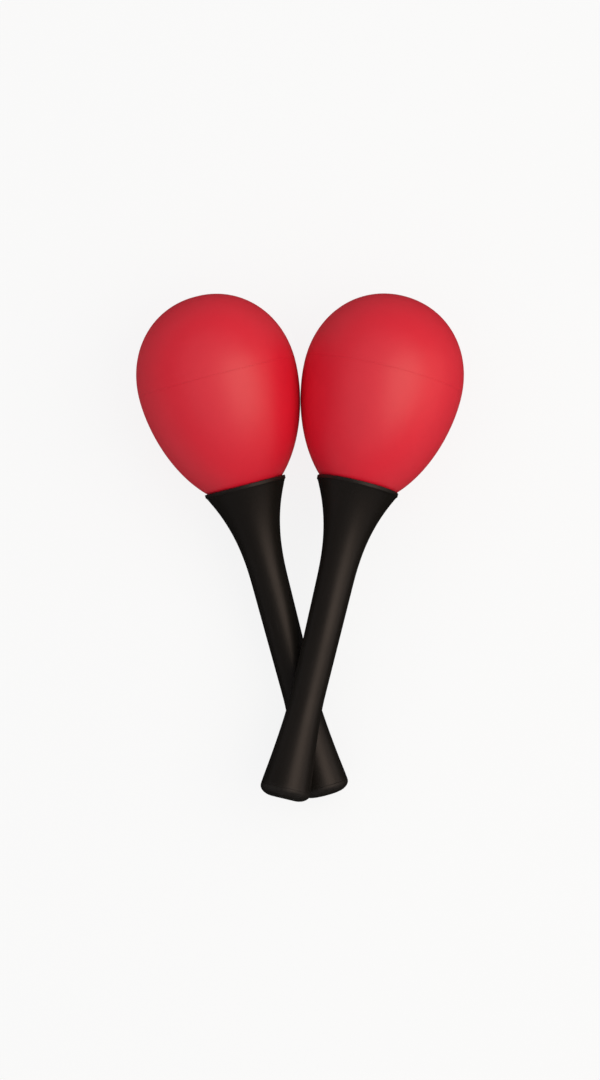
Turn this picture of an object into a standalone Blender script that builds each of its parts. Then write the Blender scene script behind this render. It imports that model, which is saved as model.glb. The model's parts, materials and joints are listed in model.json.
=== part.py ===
# A pair of egg shakers, each a hollow two-part egg on a hollow trumpet handle,
# lying crossed on a flat surface: the left one underneath, the right one with
# its handle resting over the left one's handle.
#
# Frame: metres, +Z up, origin at the bottom centre of the whole pair, eggs
# towards +Y, feet towards -Y.
# Each shaker is turned about its own axis: foot end at 0, egg tip at the top.

import math

import bpy
from mathutils import Euler, Matrix, Vector

for old in list(bpy.data.objects):
    bpy.data.objects.remove(old, do_unlink=True)

MM = 0.001

# ---------------------------------------------------------------- dimensions, mm
# egg: a superellipse of revolution, fuller below the widest place
EGG_R = 22.75            # largest radius
EGG_Z = 122.1            # height of the widest place above the foot end
EGG_UP = 24.5            # widest place to the tip
EGG_DOWN = 36.2          # widest place to the lower pole
EGG_POW_UP = 2.08
EGG_POW_DOWN = 1.85
WALL = 2.0               # shell thickness

SEAM_Z = 123.0           # joint between the dome and the cup
TONGUE = 2.6             # height of the cup's tongue inside the dome
GAP = 0.3                # clearance between neighbouring pieces

SPIGOT_R = 4.2           # the cup's spigot, pressed into the handle
SPIGOT_Z = 79.5          # its lower end

# handle: slow taper, a flare to the foot and a bell up to the collar
GRIP_R = 4.78            # radius at TAPER_Z
TAPER_Z = 30.0
TAPER = 0.0135           # radius gained per mm upwards
FOOT_FLARE = 3.2         # extra radius at the foot
FOOT_FLARE_Z = 30.0
FOOT_FLARE_POW = 1.47
BELL_Z = 62.0            # where the bell begins
BELL_FLARE = 6.55        # extra radius at the collar
BELL_POW = 2.5
COLLAR_Z = 91.3          # top of the collar
COLLAR_R = 11.8          # collar rim
COLLAR_BAND = 1.1        # height of the rim's band
BORE_R = 3.2             # bore through the grip
FOOT_BORE_R = 4.6        # mouth of the bore, for the foot cap's plug
FOOT_BORE_Z = 10.5

# foot cap: a low domed disc with a lip, and a plug
CAP_R = 7.15
CAP_H = 3.0
CAP_FLAT_R = 3.2         # flat disc in the middle of the end
PLUG_R = 4.3
PLUG_Z = 8.6

# steel shot
PELLET_R = 2.5
PELLET_GAP = 0.45        # clearance of each ball to the wall and to its neighbours
PELLET_ROWS = (3, 4, 5, 4, 3)  # balls in each row, rows lie along the shaker

EGG_SEGS = 40
HANDLE_SEGS = 32

# how the two lie: turn about +Z, and the plan position of the egg's widest place
LEFT_TURN = math.radians(14.77)
RIGHT_TURN = math.radians(-13.38)
LEFT_EGG = (-23.50, 45.10)
RIGHT_EGG = (23.55, 45.22)
CROSS_GAP = 0.4          # between the two handles where they cross


# ---------------------------------------------------------------- profiles, mm
def ovoid_radius(z, r, up, down):
    """Radius of the egg-shaped surface at height z."""
    if z >= EGG_Z:
        b, n = up, EGG_POW_UP
    else:
        b, n = down, EGG_POW_DOWN
    t = min(1.0, abs(z - EGG_Z) / b)
    return r * (1.0 - t ** n) ** (1.0 / n)


def outer_radius(z):
    return ovoid_radius(z, EGG_R, EGG_UP, EGG_DOWN)


def inner_radius(z):
    return ovoid_radius(z, EGG_R - WALL, EGG_UP - WALL, EGG_DOWN - WALL)


def lower_height(radius, r, down):
    """Height below the widest place at which the lower half has this radius."""
    n = EGG_POW_DOWN
    return EGG_Z - down * (1.0 - (radius / r) ** n) ** (1.0 / n)


def arc_heights(z_from, z_to, b, steps):
    """Heights between two levels of one half, spaced evenly by angle."""
    a0 = math.asin(max(-1.0, min(1.0, (z_from - EGG_Z) / b)))
    a1 = math.asin(max(-1.0, min(1.0, (z_to - EGG_Z) / b)))
    return [EGG_Z + b * math.sin(a0 + (a1 - a0) * i / steps) for i in range(steps + 1)]


def handle_radius(z):
    r = GRIP_R + TAPER * (z - TAPER_Z)
    if z < FOOT_FLARE_Z:
        r += FOOT_FLARE * (1.0 - z / FOOT_FLARE_Z) ** FOOT_FLARE_POW
    if z > BELL_Z:
        r += BELL_FLARE * ((z - BELL_Z) / (COLLAR_Z - BELL_Z)) ** BELL_POW
    return r


def dome_profile():
    rim = SEAM_Z + GAP / 2
    top = SEAM_Z + TONGUE + GAP / 2
    step_r = (outer_radius(SEAM_Z) + inner_radius(SEAM_Z)) / 2 + GAP / 2
    tip = EGG_Z + EGG_UP
    pts = [(0.0, tip)]
    pts += [(outer_radius(z), z) for z in arc_heights(tip, rim, EGG_UP, 9)[1:]]
    pts += [(step_r, rim), (step_r, top)]
    inner_tip = tip - WALL
    pts += [(inner_radius(z), z) for z in arc_heights(top, inner_tip, EGG_UP - WALL, 7)[:-1]]
    pts += [(0.0, inner_tip)]
    return pts


def cup_profile():
    rim = SEAM_Z - GAP / 2
    top = SEAM_Z + TONGUE - GAP / 2
    step_r = (outer_radius(SEAM_Z) + inner_radius(SEAM_Z)) / 2 - GAP / 2
    foot = lower_height(SPIGOT_R, EGG_R, EGG_DOWN)
    pole = EGG_Z - EGG_DOWN + WALL
    pts = [(inner_radius(top), top), (step_r, top), (step_r, rim), (outer_radius(rim), rim)]
    pts += [(outer_radius(z), z) for z in arc_heights(EGG_Z, foot, EGG_DOWN, 11)]
    pts += [(SPIGOT_R, SPIGOT_Z + 0.6), (SPIGOT_R - 0.6, SPIGOT_Z), (0.0, SPIGOT_Z)]
    inside = [(0.0, pole)]
    inside += [(inner_radius(z), z) for z in arc_heights(pole, EGG_Z, EGG_DOWN - WALL, 8)[1:]]
    return pts, inside


def handle_profile():
    foot = CAP_H + GAP
    seat_low = lower_height(SPIGOT_R + GAP, EGG_R + GAP, EGG_DOWN + GAP)
    band = COLLAR_Z - COLLAR_BAND
    pts = [(COLLAR_R - 0.06, COLLAR_Z), (COLLAR_R, COLLAR_Z - 0.2), (COLLAR_R - 0.08, band)]
    stations = 20
    for i in range(stations + 1):
        t = i / stations
        # closer together in the bell and in the foot flare
        s = t - 0.11 * math.sin(2 * math.pi * t)
        z = band - 0.3 + (foot - (band - 0.3)) * s
        pts.append((handle_radius(z), z))
    pts += [(FOOT_BORE_R, foot), (FOOT_BORE_R, FOOT_BORE_Z),
            (BORE_R, FOOT_BORE_Z + 1.4), (BORE_R, SPIGOT_Z - 1.9),
            (SPIGOT_R + GAP, SPIGOT_Z - 0.6), (SPIGOT_R + GAP, seat_low)]
    rim_z = COLLAR_Z
    for z in [seat_low + (rim_z - seat_low) * k / 3 for k in (1, 2, 3)]:
        pts.append((ovoid_radius(z, EGG_R + GAP, EGG_UP, EGG_DOWN + GAP), z))
    return pts


def cap_profile():
    pts = [(0.0, PLUG_Z), (PLUG_R - 0.5, PLUG_Z), (PLUG_R, PLUG_Z - 0.5), (PLUG_R, CAP_H),
           (CAP_R - 0.15, CAP_H), (CAP_R, CAP_H - 0.2)]
    # rounded edge down to the flat end
    for k in range(5):
        a = math.pi / 2 * k / 4
        pts.append((CAP_FLAT_R + (CAP_R - CAP_FLAT_R) * math.cos(a),
                    (CAP_H - 0.45) * (1.0 - math.sin(a))))
    pts.append((0.0, 0.0))
    return pts


# ---------------------------------------------------------------- how they lie
def heights(profile, z0, rise):
    """Lowest height of each point of a turned profile on an axis that rises."""
    return [z0 + z * math.sin(rise) - r * math.cos(rise) for r, z in profile]


EGG_OUT = dome_profile()[:10] + cup_profile()[0][3:16]     # outside of dome and cup
FOOT_OUT = [p for p in cap_profile() if p[1] <= CAP_H]


def lie_on_both():
    """Rise of the left shaker: its egg and its foot both touch the surface."""
    low, high = 0.0, 0.4
    for _ in range(60):
        mid = (low + high) / 2
        if min(heights(EGG_OUT, 0, mid)) > min(heights(FOOT_OUT, 0, mid)):
            high = mid
        else:
            low = mid
    return low, -min(heights(EGG_OUT, 0, low) + heights(FOOT_OUT, 0, low))


def axis_dir(turn, rise):
    return Vector((-math.sin(turn) * math.cos(rise), math.cos(turn) * math.cos(rise), math.sin(rise)))


def base_point(egg_xy, turn, rise, height):
    u = axis_dir(turn, rise)
    return Vector((egg_xy[0] - u.x * EGG_Z, egg_xy[1] - u.y * EGG_Z, height))


def skin_height(base, turn, rise, x, y, side):
    """Height of the handle's top (side 1) or underside (side -1) above (x, y)."""
    u = axis_dir(turn, rise)
    flat = Vector((u.x, u.y)).normalized()
    d = Vector((x - base.x, y - base.y))
    along = d.dot(flat)
    across = abs(d.x * flat.y - d.y * flat.x)
    s = along / math.cos(rise)
    s = max(0.0, min(COLLAR_Z - 1.0, s))
    r = handle_radius(s)
    if across >= r:
        return None
    return base.z + s * math.sin(rise) + side * math.sqrt(r * r - across * across) / math.cos(rise)


def crossing_gap(left_base, left_rise, right_base, right_rise):
    """Least vertical distance between the two handles."""
    least = 99.0
    for i in range(-24, 25):
        for j in range(-60, 61):
            x, y = i * 0.5, -75.0 + (j + 60) * 0.5
            a = skin_height(left_base, LEFT_TURN, left_rise, x, y, 1)
            b = skin_height(right_base, RIGHT_TURN, right_rise, x, y, -1)
            if a is not None and b is not None:
                least = min(least, b - a)
    return least


LEFT_RISE, LEFT_HEIGHT = lie_on_both()
LEFT_BASE = base_point(LEFT_EGG, LEFT_TURN, LEFT_RISE, LEFT_HEIGHT)

low_rise, high_rise = -0.15, 0.15
for _ in range(30):
    RIGHT_RISE = (low_rise + high_rise) / 2
    height = -min(heights(EGG_OUT, 0, RIGHT_RISE))
    RIGHT_BASE = base_point(RIGHT_EGG, RIGHT_TURN, RIGHT_RISE, height)
    if crossing_gap(LEFT_BASE, LEFT_RISE, RIGHT_BASE, RIGHT_RISE) < CROSS_GAP:
        high_rise = RIGHT_RISE
    else:
        low_rise = RIGHT_RISE


def placing(base, turn, rise):
    """Turned axis +Z laid down: towards +Y, raised by `rise`, turned by `turn`."""
    rot = Euler((-(math.pi / 2 - rise), 0.0, turn), 'XYZ')
    return Matrix.Translation(base) @ rot.to_matrix().to_4x4()


def extents(matrix):
    xs, ys = [], []
    for profile, segs in ((EGG_OUT, EGG_SEGS), (handle_profile(), HANDLE_SEGS), (cap_profile(), HANDLE_SEGS)):
        for r, z in profile:
            for k in range(segs):
                a = 2 * math.pi * k / segs
                p = matrix @ Vector((r * math.cos(a), r * math.sin(a), z))
                xs.append(p.x)
                ys.append(p.y)
    return min(xs), max(xs), min(ys), max(ys)


spans = [extents(placing(LEFT_BASE, LEFT_TURN, LEFT_RISE)), extents(placing(RIGHT_BASE, RIGHT_TURN, RIGHT_RISE))]
MIDDLE = Vector(((min(s[0] for s in spans) + max(s[1] for s in spans)) / 2,
                 (min(s[2] for s in spans) + max(s[3] for s in spans)) / 2, 0.0))
LEFT_BASE = LEFT_BASE - MIDDLE
RIGHT_BASE = RIGHT_BASE - MIDDLE


# ---------------------------------------------------------------- materials
def material(name, colour, roughness, metallic=0.0):
    mat = bpy.data.materials.new(name)
    mat.use_nodes = True
    bsdf = mat.node_tree.nodes["Principled BSDF"]
    bsdf.inputs["Base Color"].default_value = (*colour, 1.0)
    bsdf.inputs["Roughness"].default_value = roughness
    bsdf.inputs["Metallic"].default_value = metallic
    mat.diffuse_color = (*colour, 1.0)
    return mat


RED = material("red_plastic", (0.60, 0.016, 0.030), 0.38)
BLACK = material("black_plastic", (0.014, 0.010, 0.010), 0.36)
STEEL = material("steel_shot", (0.58, 0.57, 0.56), 0.22, 1.0)


# ---------------------------------------------------------------- builders
def turned(name, points, closed, segs, mat, parent):
    """A solid of revolution about the parent's +Z: a profile line swept by a Screw."""
    verts = [(r * MM, 0.0, z * MM) for r, z in points]
    count = len(verts)
    edges = [(i, i + 1) for i in range(count - 1)]
    if closed:
        edges.append((count - 1, 0))
    mesh = bpy.data.meshes.new(name)
    mesh.from_pydata(verts, edges, [])
    mesh.materials.append(mat)
    obj = bpy.data.objects.new(name, mesh)
    bpy.context.scene.collection.objects.link(obj)
    obj.parent = parent
    screw = obj.modifiers.new("turn", 'SCREW')
    screw.axis = 'Z'
    screw.angle = 2 * math.pi
    screw.screw_offset = 0.0
    screw.iterations = 1
    screw.steps = segs
    screw.render_steps = segs
    screw.use_merge_vertices = True
    screw.merge_threshold = 0.00001
    screw.use_smooth_shade = True
    screw.use_normal_calculate = False
    return obj


def shaker_axis(name, base, turn, rise):
    empty = bpy.data.objects.new(name, None)
    empty.empty_display_size = 0.02
    bpy.context.scene.collection.objects.link(empty)
    empty.location = base * MM
    empty.rotation_euler = Euler((-(math.pi / 2 - rise), 0.0, turn), 'XYZ')
    return empty


def wall_distance(r, z, samples):
    return min(math.hypot(r - a, z - b) for a, b in samples)


def ball_height(matrix, x, y, samples, upwards):
    """Lowest (or highest) place of a ball's centre above (x, y) inside the egg."""
    inverse = matrix.inverted()

    def clear(h):
        p = inverse @ Vector((x, y, h))
        r = math.hypot(p.x, p.y)
        inside = abs(p.z - EGG_Z) < EGG_DOWN and r < inner_radius(p.z)
        return inside and wall_distance(r, p.z, samples) >= PELLET_R + PELLET_GAP

    middle = (matrix @ Vector((0, 0, EGG_Z))).z
    near, far = middle, middle + (EGG_R if upwards else -EGG_R)
    for _ in range(40):
        mid = (near + far) / 2
        if clear(mid):
            near = mid
        else:
            far = mid
    return near


def inner_samples():
    pts = []
    low, high = EGG_Z - EGG_DOWN + WALL, EGG_Z + EGG_UP - WALL
    for i in range(721):
        a = -math.pi / 2 + math.pi * i / 720
        b = (EGG_UP if a > 0 else EGG_DOWN) - WALL
        z = EGG_Z + b * math.sin(a)
        pts.append((inner_radius(z), z))
    return pts


def pellets(side, base, turn, rise):
    """Steel balls in a single layer on the lowest part of the egg's inside."""
    matrix = placing(base, turn, rise)
    samples = inner_samples()
    u = axis_dir(turn, rise)
    along = Vector((u.x, u.y, 0)).normalized()
    across = Vector((along.y, -along.x, 0))
    # the lowest place of the inner wall, on the axis' plan line
    s_low = min(samples, key=lambda p: p[1] * math.sin(rise) - p[0] * math.cos(rise))
    bottom = matrix @ Vector((0.0, s_low[0], s_low[1]))
    step = 2 * PELLET_R + PELLET_GAP
    number = 0
    travels = []
    for row, count in enumerate(PELLET_ROWS):
        off = (row - (len(PELLET_ROWS) - 1) / 2) * step * math.sqrt(3) / 2
        for k in range(count):
            number += 1
            run = (k - (count - 1) / 2) * step
            spot = bottom + along * run + across * off
            low = ball_height(matrix, spot.x, spot.y, samples, False)
            high = ball_height(matrix, spot.x, spot.y, samples, True)
            name = "%s_pellet_%02d" % (side, number)
            bpy.ops.mesh.primitive_ico_sphere_add(subdivisions=2, radius=PELLET_R * MM)
            ball = bpy.context.active_object
            ball.name = name
            ball.data.name = name
            ball.location = Vector((spot.x, spot.y, low)) * MM
            ball.data.materials.append(STEEL)
            ball.data.shade_smooth()
            travels.append((name, ball.location.copy(), (high - low) * MM))
    return travels


def shaker(side, base, turn, rise):
    axis = shaker_axis(side + "_axis", base, turn, rise)
    turned(side + "_dome_shell", dome_profile(), False, EGG_SEGS, RED, axis)
    # one line from the inner pole up, over the tongue and down to the spigot's end
    outside, inside = cup_profile()
    turned(side + "_cup_shell", inside + outside, False, EGG_SEGS, RED, axis)
    turned(side + "_handle", handle_profile(), True, HANDLE_SEGS, BLACK, axis)
    turned(side + "_foot_cap", cap_profile(), False, HANDLE_SEGS, BLACK, axis)
    return pellets(side, base, turn, rise)


LEFT = shaker("left", LEFT_BASE, LEFT_TURN, LEFT_RISE)
RIGHT = shaker("right", RIGHT_BASE, RIGHT_TURN, RIGHT_RISE)
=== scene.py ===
# Looks for the pair of egg shakers: fine turned skins for the shells, handles
# and foot caps, worn steel shot, satin moulded plastics, floor, light, camera.

import json
import math

import bmesh
import bpy
from mathutils import Euler, Matrix, Vector, noise


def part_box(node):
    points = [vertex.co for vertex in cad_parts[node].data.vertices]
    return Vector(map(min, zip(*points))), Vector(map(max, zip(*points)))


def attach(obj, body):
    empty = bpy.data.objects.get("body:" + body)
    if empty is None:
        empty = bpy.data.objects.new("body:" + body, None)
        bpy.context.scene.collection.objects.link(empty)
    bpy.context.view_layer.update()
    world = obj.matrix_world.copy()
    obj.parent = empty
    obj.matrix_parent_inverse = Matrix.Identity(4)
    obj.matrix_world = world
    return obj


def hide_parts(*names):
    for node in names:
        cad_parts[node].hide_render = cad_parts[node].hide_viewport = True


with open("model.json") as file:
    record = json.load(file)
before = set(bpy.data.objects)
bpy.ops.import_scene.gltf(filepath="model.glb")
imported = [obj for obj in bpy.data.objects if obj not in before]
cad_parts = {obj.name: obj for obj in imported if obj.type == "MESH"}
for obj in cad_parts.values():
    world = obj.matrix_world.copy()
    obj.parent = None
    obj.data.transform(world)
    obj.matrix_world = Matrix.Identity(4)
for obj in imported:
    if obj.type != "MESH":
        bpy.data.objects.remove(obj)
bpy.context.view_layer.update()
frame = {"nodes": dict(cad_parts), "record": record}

MM = 0.001
RECORD = frame["record"]
NODES = frame["nodes"]

# ------------------------------------------------------------ dimensions, mm
# the same turned forms as the CAD, sampled finely
EGG_R = 22.75
EGG_Z = 122.1
EGG_UP = 24.5
EGG_DOWN = 36.2
EGG_POW_UP = 2.08
EGG_POW_DOWN = 1.85
WALL = 2.0
SEAM_Z = 123.0
TONGUE = 2.6
GAP = 0.3
SPIGOT_R = 4.2
SPIGOT_Z = 79.5
GRIP_R = 4.78
TAPER_Z = 30.0
TAPER = 0.0135
FOOT_FLARE = 3.2
FOOT_FLARE_Z = 30.0
FOOT_FLARE_POW = 1.47
BELL_Z = 62.0
BELL_FLARE = 6.55
BELL_POW = 2.5
COLLAR_Z = 91.3
COLLAR_R = 11.8
COLLAR_BAND = 1.1
BORE_R = 3.2
FOOT_BORE_R = 4.6
FOOT_BORE_Z = 10.5
CAP_R = 7.15
CAP_H = 3.0
CAP_FLAT_R = 3.2
PLUG_R = 4.3
PLUG_Z = 8.6
PELLET_R = 2.5
PAINT = 0.13             # the visible eggs all but touch; the CAD keeps them apart


def ovoid_radius(z, r, up, down):
    if z >= EGG_Z:
        b, n = up, EGG_POW_UP
    else:
        b, n = down, EGG_POW_DOWN
    t = min(1.0, abs(z - EGG_Z) / b)
    return r * (1.0 - t ** n) ** (1.0 / n)


def outer_radius(z):
    return ovoid_radius(z, EGG_R + PAINT, EGG_UP, EGG_DOWN)


def inner_radius(z):
    return ovoid_radius(z, EGG_R - WALL, EGG_UP - WALL, EGG_DOWN - WALL)


def lower_height(radius, r, down):
    n = EGG_POW_DOWN
    return EGG_Z - down * (1.0 - (radius / r) ** n) ** (1.0 / n)


def arc_heights(z_from, z_to, b, steps):
    a0 = math.asin(max(-1.0, min(1.0, (z_from - EGG_Z) / b)))
    a1 = math.asin(max(-1.0, min(1.0, (z_to - EGG_Z) / b)))
    return [EGG_Z + b * math.sin(a0 + (a1 - a0) * i / steps) for i in range(steps + 1)]


def handle_radius(z):
    r = GRIP_R + TAPER * (z - TAPER_Z)
    if z < FOOT_FLARE_Z:
        r += FOOT_FLARE * (1.0 - z / FOOT_FLARE_Z) ** FOOT_FLARE_POW
    if z > BELL_Z:
        r += BELL_FLARE * ((z - BELL_Z) / (COLLAR_Z - BELL_Z)) ** BELL_POW
    return r


def rounded(points, steps=5):
    """A profile whose corners (r, z, radius) are turned into small arcs."""
    out = []
    count = len(points)
    for i, p in enumerate(points):
        rad = p[2] if len(p) > 2 else 0.0
        if rad <= 0.0 or i in (0, count - 1):
            out.append((p[0], p[1]))
            continue
        here = Vector((p[0], p[1]))
        a = Vector(points[i - 1][:2]) - here
        b = Vector(points[i + 1][:2]) - here
        la, lb = a.length, b.length
        turn = math.pi - a.angle(b)
        d = min(rad * math.tan(turn / 2), 0.45 * la, 0.45 * lb)
        s, e = here + a / la * d, here + b / lb * d
        for k in range(steps + 1):
            t = k / steps
            q = s * (1 - t) ** 2 + here * (2 * t * (1 - t)) + e * t * t
            out.append((q.x, q.y))
    return out


# ------------------------------------------------------------ fine profiles
VISIBLE_SEAM = 0.012     # what is left open of the joint, mm
DOME_STEPS = 60
CUP_STEPS = 64


def dome_profile():
    rim = SEAM_Z + VISIBLE_SEAM / 2
    top = SEAM_Z + TONGUE + GAP / 2
    step_r = (outer_radius(SEAM_Z) + inner_radius(SEAM_Z)) / 2 + GAP / 2
    tip = EGG_Z + EGG_UP
    pts = []
    heights = arc_heights(tip, rim, EGG_UP, DOME_STEPS)
    for z in heights[1:-1]:
        r = outer_radius(z)
        # gate mark at the tip: a shallow round dish with a trimmed nub
        dip = 0.0
        if r < 2.6:
            dip = 0.13 * (0.5 + 0.5 * math.cos(math.pi * r / 2.6))
        if r < 0.75:
            dip -= 0.16 * (1.0 - (r / 0.75) ** 4)
        pts.append((r, z - dip))
    pts = [(0.0, tip + 0.03)] + pts
    r = outer_radius(rim)
    pts += [(r, rim, 0.03), (step_r, rim, 0.1), (step_r, top, 0.1), (inner_radius(top), top, 0.1)]
    inner_tip = tip - WALL
    pts += [(inner_radius(z), z) for z in arc_heights(top + 0.3, inner_tip, EGG_UP - WALL, 30)[:-1]]
    pts += [(0.0, inner_tip)]
    return rounded(pts)


def cup_profile():
    rim = SEAM_Z - VISIBLE_SEAM / 2
    top = SEAM_Z + TONGUE - GAP / 2
    step_r = (outer_radius(SEAM_Z) + inner_radius(SEAM_Z)) / 2 - GAP / 2
    foot = lower_height(SPIGOT_R, EGG_R, EGG_DOWN)
    pole = EGG_Z - EGG_DOWN + WALL
    pts = [(0.0, pole)]
    pts += [(inner_radius(z), z) for z in arc_heights(pole, top - 0.3, EGG_DOWN - WALL, 40)[1:]]
    pts += [(inner_radius(top), top, 0.15), (step_r, top, 0.2), (step_r, rim, 0.1), (outer_radius(rim), rim, 0.03)]
    pts += [(outer_radius(z), z) for z in arc_heights(SEAM_Z - 0.35, foot, EGG_DOWN, CUP_STEPS)]
    pts += [(SPIGOT_R, SPIGOT_Z + 0.6), (SPIGOT_R - 0.6, SPIGOT_Z), (0.0, SPIGOT_Z)]
    return rounded(pts)


def handle_profile():
    foot = CAP_H + 0.03
    seat_low = lower_height(SPIGOT_R + GAP, EGG_R + GAP, EGG_DOWN + GAP)
    band = COLLAR_Z - COLLAR_BAND
    lip_in = ovoid_radius(COLLAR_Z, EGG_R + GAP, EGG_UP, EGG_DOWN + GAP)
    pts = [(lip_in + 0.08, COLLAR_Z - 0.02), (COLLAR_R, COLLAR_Z, 0.22), (COLLAR_R - 0.06, band + 0.1, 0.18)]
    start = band - 0.16
    stations = 110
    for i in range(stations + 1):
        t = i / stations
        s = t - 0.11 * math.sin(2 * math.pi * t)
        z = start + (foot + 0.12 - start) * s
        pts.append((handle_radius(z), z))
    pts += [(handle_radius(foot), foot, 0.08), (FOOT_BORE_R, foot, 0.1), (FOOT_BORE_R, FOOT_BORE_Z),
            (BORE_R, FOOT_BORE_Z + 1.4), (BORE_R, SPIGOT_Z - 1.9),
            (SPIGOT_R + GAP, SPIGOT_Z - 0.6), (SPIGOT_R + GAP, seat_low)]
    for k in range(1, 15):
        z = seat_low + (COLLAR_Z - 0.25 - seat_low) * k / 14
        pts.append((ovoid_radius(z, EGG_R + GAP, EGG_UP, EGG_DOWN + GAP), z))
    return rounded(pts)


def cap_profile():
    pts = [(0.0, PLUG_Z), (PLUG_R - 0.5, PLUG_Z, 0.1), (PLUG_R, PLUG_Z - 0.5, 0.1), (PLUG_R, CAP_H, 0.1),
           (handle_radius(CAP_H + 0.03), CAP_H, 0.08)]
    edge = 22
    for k in range(edge):
        a = math.pi / 2 * k / edge
        pts.append((CAP_FLAT_R + (CAP_R - CAP_FLAT_R) * math.cos(a), (CAP_H - 0.45) * (1.0 - math.sin(a))))
    # a shallow moulded ring and a trimmed gate nub in the flat middle
    pts += [(CAP_FLAT_R - 0.15, 0.0), (2.55, 0.0, 0.06), (2.45, 0.12, 0.06), (2.05, 0.12, 0.06), (1.95, 0.0, 0.06),
            (1.0, 0.0), (0.85, 0.1, 0.05), (0.62, 0.1, 0.05), (0.55, 0.02, 0.05), (0.0, 0.02)]
    return rounded(pts, 3)


# ------------------------------------------------------------ mesh building
def placing_of(side):
    """Where a shaker lies, read from the frame: foot disc's centre and axis."""
    mount = [m for m in RECORD["mounts"] if m["name"] == side + "_foot_face"][0]
    u = -Vector(mount["axis"]).normalized()
    cap = NODES[side + "_foot_cap"]
    pts = [cap.matrix_world @ v.co for v in cap.data.vertices]
    turn = math.atan2(-u.x, u.y)
    rise = math.asin(u.z)
    rot = Euler((-(math.pi / 2 - rise), 0.0, turn), 'XYZ').to_matrix()
    centre = u * min(p.dot(u) for p in pts)
    for across in (rot.col[0], rot.col[1]):
        reach = [p.dot(across) for p in pts]
        centre = centre + across * (min(reach) + max(reach)) / 2
    return Matrix.Translation(centre) @ rot.to_4x4()


def shown(name, mesh, matrix, grain_shift=0.0, sharp=38.0):
    """Puts a mesh in place, and keeps its own axis coordinates for its material."""
    own = mesh.attributes.new("own", 'FLOAT_VECTOR', 'POINT')
    for i, v in enumerate(mesh.vertices):
        own.data[i].vector = (v.co.x + grain_shift, v.co.y, v.co.z)
    mesh.transform(matrix)
    mesh.shade_smooth()
    mesh.set_sharp_from_angle(angle=math.radians(sharp))
    obj = bpy.data.objects.new(name, mesh)
    bpy.context.scene.collection.objects.link(obj)
    return obj


def turned(name, profile, segs, closed, matrix, ridge=0.0, grain_shift=0.0):
    """A fine solid of revolution. A ridge adds two mould lines, at the sides."""
    bm = bmesh.new()
    rings = []
    for r, z in profile:
        if r < 1e-6:
            rings.append([bm.verts.new((0.0, 0.0, z * MM))])
            continue
        angles = []
        if ridge > 0.0:
            half = segs // 2
            w = 0.16 / r
            for start in (0.0, math.pi):
                angles += [(start - w, 0.0), (start, ridge), (start + w, 0.0)]
                inner = half - 3
                for k in range(1, inner + 1):
                    angles.append((start + w + (math.pi - 2 * w) * k / (inner + 1), 0.0))
        else:
            angles = [(2 * math.pi * k / segs, 0.0) for k in range(segs)]
        ring = []
        for a, up in angles:
            rr = r
            if up > 0.0 and z > CAP_H + 1.2 and z < COLLAR_Z - 2.5 and r > handle_radius(z) - 0.2:
                rr = r + up
            ring.append(bm.verts.new((rr * math.cos(a) * MM, rr * math.sin(a) * MM, z * MM)))
        rings.append(ring)
    pairs = list(zip(rings[:-1], rings[1:]))
    if closed:
        pairs.append((rings[-1], rings[0]))
    for a, b in pairs:
        na, nb = len(a), len(b)
        n = max(na, nb)
        for j in range(n):
            j2 = (j + 1) % n
            if na == 1:
                bm.faces.new((a[0], b[j], b[j2]))
            elif nb == 1:
                bm.faces.new((a[j], b[0], a[j2]))
            else:
                bm.faces.new((a[j], b[j], b[j2], a[j2]))
    bmesh.ops.recalc_face_normals(bm, faces=bm.faces)
    if bm.calc_volume(signed=True) < 0:
        bmesh.ops.reverse_faces(bm, faces=bm.faces)
    mesh = bpy.data.meshes.new(name)
    bm.to_mesh(mesh)
    bm.free()
    return shown(name, mesh, matrix, grain_shift)


def shot(name, centre, number):
    """A cast steel ball: slightly out of round, with small flats from tumbling."""
    bm = bmesh.new()
    bmesh.ops.create_icosphere(bm, subdivisions=4, radius=1.0)
    seed = Vector((number * 3.7, number * 1.3, number * 7.1))
    flats = []
    for k in range(7):
        d = Vector((noise.noise(seed + Vector((k * 5.1, 0, 0))), noise.noise(seed + Vector((0, k * 4.3, 9.2))),
                    noise.noise(seed + Vector((2.2, 0, k * 6.7)))))
        if d.length > 1e-4:
            flats.append((d.normalized(), 0.972 + 0.012 * ((k * 7 + number) % 3) / 2))
    for v in bm.verts:
        d = v.co.normalized()
        r = 0.992 + 0.006 * noise.noise(d * 1.7 + seed)
        for axis, depth in flats:
            along = d.dot(axis)
            if along > 0.9 and r * along > depth:
                r = min(r, depth / along * 0.35 + r * 0.65)
        v.co = d * r * PELLET_R * MM
    mesh = bpy.data.meshes.new(name)
    bm.to_mesh(mesh)
    bm.free()
    return shown(name, mesh, Matrix.Translation(centre), number * 0.01, 180.0)


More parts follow.
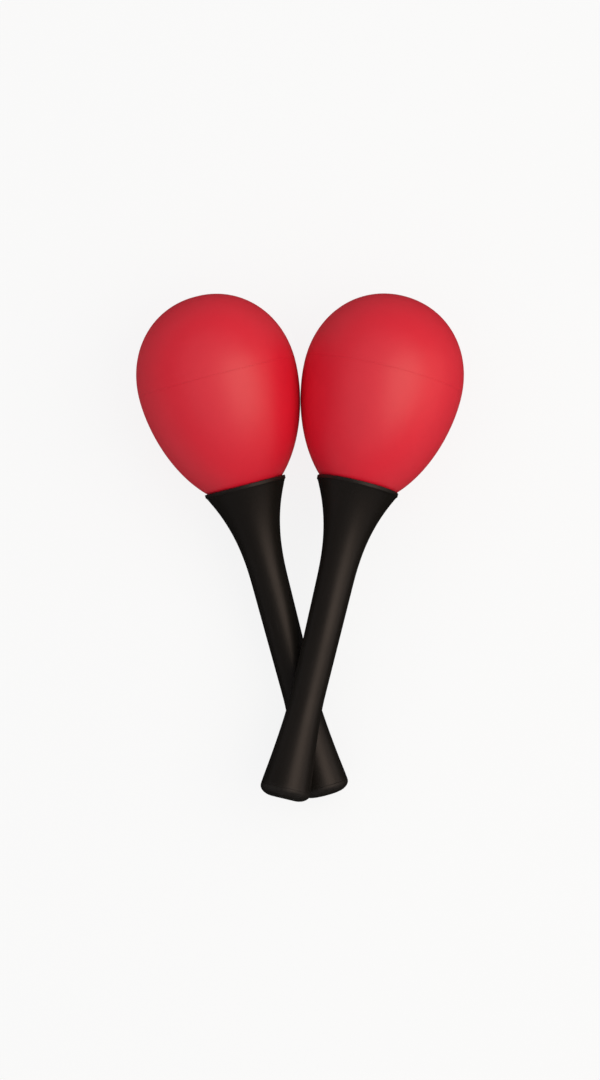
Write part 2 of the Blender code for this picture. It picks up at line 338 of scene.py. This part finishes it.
# ------------------------------------------------------------ materials
class Tree:
    """Short helpers for one material's nodes."""

    def __init__(self, name):
        self.mat = bpy.data.materials.new(name)
        self.mat.use_nodes = True
        self.nt = self.mat.node_tree
        self.bsdf = self.nt.nodes["Principled BSDF"]
        coord = self.nt.nodes.new("ShaderNodeAttribute")
        coord.attribute_name = "own"
        self.object = coord.outputs["Vector"]

    def set(self, **values):
        for key, value in values.items():
            self.bsdf.inputs[key.replace("_", " ")].default_value = value

    def link(self, a, b):
        self.nt.links.new(a, b)

    def noise(self, scale, detail=3.0, rough=0.5, stretch=None, distortion=0.0, offset=None):
        vec = self.object
        if stretch or offset:
            m = self.nt.nodes.new("ShaderNodeMapping")
            if stretch:
                m.inputs["Scale"].default_value = stretch
            if offset:
                m.inputs["Location"].default_value = offset
            self.link(vec, m.inputs["Vector"])
            vec = m.outputs["Vector"]
        n = self.nt.nodes.new("ShaderNodeTexNoise")
        n.inputs["Scale"].default_value = scale
        n.inputs["Detail"].default_value = detail
        n.inputs["Roughness"].default_value = rough
        n.inputs["Distortion"].default_value = distortion
        self.link(vec, n.inputs["Vector"])
        return n.outputs["Fac"]

    def voronoi(self, scale, feature='F1', stretch=None):
        vec = self.object
        if stretch:
            m = self.nt.nodes.new("ShaderNodeMapping")
            m.inputs["Scale"].default_value = stretch
            self.link(vec, m.inputs["Vector"])
            vec = m.outputs["Vector"]
        v = self.nt.nodes.new("ShaderNodeTexVoronoi")
        v.feature = feature
        v.inputs["Scale"].default_value = scale
        self.link(vec, v.inputs["Vector"])
        return v.outputs["Distance"]

    def along(self):
        s = self.nt.nodes.new("ShaderNodeSeparateXYZ")
        self.link(self.object, s.inputs["Vector"])
        return s.outputs["Z"]

    def remap(self, value, a, b, c, d, kind='LINEAR'):
        m = self.nt.nodes.new("ShaderNodeMapRange")
        m.interpolation_type = kind
        m.clamp = True
        for key, v in zip(("From Min", "From Max", "To Min", "To Max"), (a, b, c, d)):
            m.inputs[key].default_value = v
        self.link(value, m.inputs["Value"])
        return m.outputs["Result"]

    def math(self, op, a, b):
        m = self.nt.nodes.new("ShaderNodeMath")
        m.operation = op
        for i, v in enumerate((a, b)):
            if isinstance(v, (int, float)):
                m.inputs[i].default_value = v
            else:
                self.link(v, m.inputs[i])
        return m.outputs[0]

    def mix(self, fac, a, b):
        m = self.nt.nodes.new("ShaderNodeMix")
        m.data_type = 'RGBA'
        for key, v in ((0, fac), (6, a), (7, b)):
            if isinstance(v, (int, float)):
                m.inputs[key].default_value = v
            elif isinstance(v, tuple):
                m.inputs[key].default_value = (*v, 1.0) if len(v) == 3 else v
            else:
                self.link(v, m.inputs[key])
        return m.outputs[2]

    def bump(self, height, distance, strength=1.0, previous=None):
        b = self.nt.nodes.new("ShaderNodeBump")
        b.inputs["Strength"].default_value = strength
        b.inputs["Distance"].default_value = distance
        self.link(height, b.inputs["Height"])
        if previous is not None:
            self.link(previous, b.inputs["Normal"])
        return b.outputs["Normal"]


def egg_plastic():
    t = Tree("egg_red_satin")
    t.set(IOR=1.59, Specular_IOR_Level=0.5, Metallic=0.0)
    # pigment: slow clouding from the melt's flow, and a faint finer mottle
    cloud = t.noise(38.0, 2.0, 0.5, stretch=(1.0, 1.0, 0.45), distortion=0.6)
    fine = t.noise(420.0, 2.0, 0.6)
    base = t.mix(t.remap(cloud, 0.3, 0.7, 0.0, 1.0), (0.676, 0.0070, 0.0250), (0.718, 0.0088, 0.0284))
    base = t.mix(t.remap(fine, 0.35, 0.65, 0.0, 0.16), base, (0.635, 0.0064, 0.023))
    # faint pale scuffs where the eggs knock together
    scuff = t.remap(t.noise(900.0, 4.0, 0.7, stretch=(1.0, 0.22, 0.22), distortion=1.2), 0.66, 0.78, 0.0, 0.22)
    patch = t.remap(t.noise(70.0, 2.0, 0.5, offset=(0.3, 0.1, 0.7)), 0.54, 0.68, 0.0, 1.0)
    scuff = t.math('MULTIPLY', scuff, patch)
    base = t.mix(scuff, base, (0.70, 0.07, 0.08))
    t.link(base, t.bsdf.inputs["Base Color"])
    # satin: eroded-mould grain, smoother in patches where it has been handled
    handled = t.noise(55.0, 3.0, 0.55, offset=(0.1, 0.4, 0.0))
    rough = t.remap(handled, 0.3, 0.7, 0.405, 0.465)
    rough = t.math('ADD', rough, t.math('MULTIPLY', scuff, 0.25))
    t.link(rough, t.bsdf.inputs["Roughness"])
    grain = t.noise(3200.0, 2.0, 0.55)
    waves = t.noise(60.0, 1.0, 0.4)
    n = t.bump(waves, 0.00022, 0.35)
    n = t.bump(grain, 0.000022, 0.55, n)
    t.link(n, t.bsdf.inputs["Normal"])
    return t.mat


def handle_plastic(name, seed):
    t = Tree(name)
    t.set(IOR=1.50, Specular_IOR_Level=0.44, Specular_Tint=(1.0, 0.90, 0.97, 1.0), Metallic=0.0)
    cloud = t.noise(60.0, 3.0, 0.55, stretch=(1.0, 1.0, 0.25), offset=(seed, 0.0, 0.0))
    base = t.mix(t.remap(cloud, 0.3, 0.7, 0.0, 1.0), (0.0056, 0.0046, 0.0034), (0.0084, 0.0071, 0.0056))
    # handling marks run along the grip; dust settles as fine specks
    hair = t.remap(t.noise(2600.0, 3.0, 0.6, stretch=(1.0, 1.0, 0.035), distortion=0.4), 0.63, 0.76, 0.0, 0.35)
    worn = t.remap(t.noise(90.0, 2.0, 0.5, offset=(0.0, seed, 0.3)), 0.46, 0.66, 0.0, 1.0)
    hair = t.math('MULTIPLY', hair, worn)
    base = t.mix(hair, base, (0.040, 0.036, 0.034))
    speck = t.remap(t.voronoi(620.0), 0.0, 0.085, 0.30, 0.0)
    speck = t.math('MULTIPLY', speck, t.remap(t.noise(140.0, 1.0, 0.5), 0.5, 0.62, 0.0, 1.0))
    base = t.mix(speck, base, (0.10, 0.095, 0.09))
    # rims painted lighter, the collar's lip band and the foot's edge: partly rubbed wear, partly a painted highlight
    # where these edges catch the light
    z = t.along()
    lip = t.remap(z, (COLLAR_Z - 1.2) * MM, (COLLAR_Z - 0.1) * MM, 0.0, 1.0, 'SMOOTHSTEP')
    foot = t.remap(z, 2.2 * MM, 4.2 * MM, 1.0, 0.0, 'SMOOTHSTEP')
    rims = t.math('MAXIMUM', lip, foot)
    rub_and_painted_highlight = t.math('MULTIPLY', rims, t.remap(t.noise(700.0, 4.0, 0.65, stretch=(1.0, 1.0, 0.3)), 0.35, 0.7, 0.15, 0.75))
    # lighter rim colour: rubbed wear plus a painted highlight on the lip band and foot edge
    base = t.mix(rub_and_painted_highlight, base, (0.016, 0.0145, 0.013))
    t.link(base, t.bsdf.inputs["Base Color"])
    rough = t.remap(t.noise(48.0, 3.0, 0.55, offset=(0.2, 0.2, seed)), 0.3, 0.7, 0.41, 0.48)
    rough = t.math('ADD', rough, t.math('MULTIPLY', hair, 0.3))
    rough = t.math('ADD', rough, t.math('MULTIPLY', rub_and_painted_highlight, 0.12))
    t.link(rough, t.bsdf.inputs["Roughness"])
    grain = t.noise(3600.0, 2.0, 0.5)
    waves = t.noise(85.0, 1.0, 0.4, stretch=(1.0, 1.0, 0.5))
    n = t.bump(waves, 0.00012, 0.3)
    n = t.bump(grain, 0.000014, 0.5, n)
    t.link(n, t.bsdf.inputs["Normal"])
    return t.mat


def steel_shot():
    t = Tree("shot_steel")
    t.set(Metallic=1.0)
    dull = t.noise(500.0, 4.0, 0.6)
    base = t.mix(t.remap(dull, 0.35, 0.7, 0.0, 1.0), (0.60, 0.59, 0.575), (0.40, 0.385, 0.37))
    pits = t.remap(t.voronoi(1900.0), 0.0, 0.12, 0.65, 0.0)
    base = t.mix(pits, base, (0.16, 0.14, 0.125))
    t.link(base, t.bsdf.inputs["Base Color"])
    t.link(t.remap(dull, 0.3, 0.7, 0.18, 0.38), t.bsdf.inputs["Roughness"])
    n = t.bump(t.noise(1500.0, 3.0, 0.6), 0.00003, 0.6)
    n = t.bump(t.remap(t.voronoi(1900.0), 0.0, 0.12, 0.0, 1.0), 0.00002, 0.7, n)
    t.link(n, t.bsdf.inputs["Normal"])
    return t.mat


def floor_paper():
    t = Tree("floor_paper")
    coord = t.nt.nodes.new("ShaderNodeTexCoord")
    t.object = coord.outputs["Object"]
    t.set(Specular_IOR_Level=0.2)
    cloud = t.noise(3.0, 3.0, 0.5)
    base = t.mix(t.remap(cloud, 0.3, 0.7, 0.0, 1.0), (0.088, 0.088, 0.088), (0.092, 0.092, 0.092))
    # a light table: most of its brightness comes through from below
    t.set(Emission_Color=(1.0, 1.0, 1.0, 1.0), Emission_Strength=0.858)
    t.link(base, t.bsdf.inputs["Base Color"])
    t.link(t.remap(t.noise(40.0), 0.3, 0.7, 0.88, 0.95), t.bsdf.inputs["Roughness"])
    t.link(t.bump(t.noise(900.0, 3.0, 0.6), 0.00005, 0.2), t.bsdf.inputs["Normal"])
    return t.mat


RED = egg_plastic()
BLACK = handle_plastic("handle_black_satin", 0.0)
CAP_BLACK = handle_plastic("cap_black_satin", 0.6)
STEEL = steel_shot()

# ------------------------------------------------------------ pieces
SEGS = 160
for side in ("left", "right"):
    place = placing_of(side)
    body = side + "_shaker"
    for part, profile, closed, segs, mat, slot, ridge in (
            ("dome", dome_profile(), False, SEGS, RED, "egg_plastic", 0.0),
            ("cup", cup_profile(), False, SEGS, RED, "egg_plastic", 0.0),
            ("handle", handle_profile(), True, 128, BLACK, "handle_plastic", 0.035),
            ("foot_cap", cap_profile(), False, 128, CAP_BLACK, "handle_plastic", 0.0)):
        node = side + "_" + (part + "_shell" if part in ("dome", "cup") else part)
        skin = turned(side + "_" + part + "_skin", profile, segs, closed, place, ridge,
                      0.31 if side == "right" else 0.0)
        skin.data.materials.append(mat)
        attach(skin, body)
        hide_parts(node)
    count = len([n for n in NODES if n.startswith(side + "_pellet_")])
    for k in range(1, count + 1):
        node = "%s_pellet_%02d" % (side, k)
        low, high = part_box(node)
        ball = shot("%s_shot_%02d" % (side, k), (Vector(low) + Vector(high)) / 2, k + (100 if side == "right" else 0))
        ball.data.materials.append(STEEL)
        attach(ball, node)
        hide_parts(node)

# the CAD nodes keep matching materials under their skins
for name, node in NODES.items():
    mat = STEEL if "_pellet_" in name else (RED if name.endswith("_shell") else BLACK)
    for s in node.material_slots:
        s.material = mat

# ------------------------------------------------------------ floor
bm = bmesh.new()
bmesh.ops.create_grid(bm, x_segments=24, y_segments=24, size=2.2)
mesh = bpy.data.meshes.new("floor")
bm.to_mesh(mesh)
bm.free()
floor = bpy.data.objects.new("floor", mesh)
bpy.context.scene.collection.objects.link(floor)
floor.location = (0.0, 0.0, -0.0002)
floor.data.materials.append(floor_paper())
floor.visible_glossy = False

# a plain white screen stands round the table; it lights nothing
SCREEN_R = 2.19
SCREEN_H = 1.2
bm = bmesh.new()
low = [bm.verts.new((SCREEN_R * math.cos(math.tau * k / 96), SCREEN_R * math.sin(math.tau * k / 96), -0.001))
       for k in range(96)]
high = [bm.verts.new((v.co.x, v.co.y, SCREEN_H)) for v in low]
for k in range(96):
    j = (k + 1) % 96
    bm.faces.new((low[k], high[k], high[j], low[j]))
mesh = bpy.data.meshes.new("screen")
bm.to_mesh(mesh)
bm.free()
mesh.shade_smooth()
screen = bpy.data.objects.new("screen", mesh)
bpy.context.scene.collection.objects.link(screen)
white = Tree("screen_white")
white.set(Base_Color=(0.02, 0.02, 0.02, 1.0), Specular_IOR_Level=0.0, Roughness=1.0,
          Emission_Color=(1.0, 1.0, 1.0, 1.0), Emission_Strength=0.90)
screen.data.materials.append(white.mat)
for rays in ("diffuse", "glossy", "transmission", "volume_scatter", "shadow"):
    setattr(screen, "visible_" + rays, False)

# ------------------------------------------------------------ light
scene = bpy.context.scene
scene.view_settings.view_transform = 'Standard'
scene.view_settings.look = 'None'
world = bpy.data.worlds.new("studio")
scene.world = world
world.use_nodes = True
background = world.node_tree.nodes["Background"]
background.inputs["Color"].default_value = (0.975, 0.99, 1.0, 1.0)
# a pale band round the horizon, and a dark room above it
way = world.node_tree.nodes.new("ShaderNodeTexCoord")
split = world.node_tree.nodes.new("ShaderNodeSeparateXYZ")
band = world.node_tree.nodes.new("ShaderNodeMapRange")
band.interpolation_type = 'SMOOTHSTEP'
for key, value in (("From Min", 0.05), ("From Max", 0.20), ("To Min", 0.34), ("To Max", 0.06)):
    band.inputs[key].default_value = value
above = world.node_tree.nodes.new("ShaderNodeMapRange")
for key, value in (("From Min", -0.02), ("From Max", 0.0), ("To Min", 0.04), ("To Max", 1.0)):
    above.inputs[key].default_value = value
both = world.node_tree.nodes.new("ShaderNodeMath")
both.operation = 'MULTIPLY'
world.node_tree.links.new(way.outputs["Generated"], split.inputs["Vector"])
world.node_tree.links.new(split.outputs["Z"], band.inputs["Value"])
world.node_tree.links.new(split.outputs["Z"], above.inputs["Value"])
world.node_tree.links.new(band.outputs["Result"], both.inputs[0])
world.node_tree.links.new(above.outputs["Result"], both.inputs[1])
world.node_tree.links.new(both.outputs["Value"], background.inputs["Strength"])


def softbox(name, place, target, width, height, watts, colour, roll=0.0, glossy=True):
    light = bpy.data.lights.new(name, 'AREA')
    light.shape = 'RECTANGLE'
    light.size = width
    light.size_y = height
    light.energy = watts
    light.color = colour
    obj = bpy.data.objects.new(name, light)
    scene.collection.objects.link(obj)
    obj.location = place
    z = (Vector(place) - Vector(target)).normalized()
    long = Vector((-math.sin(roll), math.cos(roll), 0.0))
    y = (long - z * long.dot(z)).normalized()
    x = y.cross(z)
    obj.rotation_euler = Matrix((x, y, z)).transposed().to_euler()
    obj.visible_camera = False
    obj.visible_glossy = glossy
    return obj


softbox("top", (0.0, 0.0, 1.3), (0.0, 0.0, 0.0), 4.0, 4.0, 49.0, (0.975, 0.99, 1.0), glossy=False)
softbox("key", (0.36, -0.01, 0.56), (0.0, 0.02, 0.0), 0.56, 0.56, 1.7, (1.0, 0.85, 0.64), math.radians(14.6))
softbox("side", (0.55, 0.02, 0.16), (0.0, 0.02, 0.03), 0.26, 0.5, 0.26, (1.0, 0.84, 0.66))

# ------------------------------------------------------------ camera
CAM_DISTANCE = 0.9
CAM_TILT = math.radians(6.40)
CAM_PIXELS = 3153.6      # focal length in pixels of a 600 x 1080 frame
target = Vector((-0.00003, 0.00258, 0.015))
back = Vector((0.0, -math.sin(CAM_TILT), math.cos(CAM_TILT)))
cam = bpy.data.cameras.new("camera")
cam.sensor_fit = 'VERTICAL'
cam.sensor_height = 36.0
cam.lens = 36.0 * CAM_PIXELS / 1080.0
cam.clip_start = 0.01
cam_obj = bpy.data.objects.new("camera", cam)
scene.collection.objects.link(cam_obj)
cam_obj.location = target + back * CAM_DISTANCE
right = (-back).cross(Vector((0.0, 1.0, 0.0))).normalized()
up = right.cross(-back)
cam_obj.matrix_world = Matrix((
    (right.x, up.x, back.x, cam_obj.location.x),
    (right.y, up.y, back.y, cam_obj.location.y),
    (right.z, up.z, back.z, cam_obj.location.z),
    (0.0, 0.0, 0.0, 1.0)))
scene.camera = cam_obj
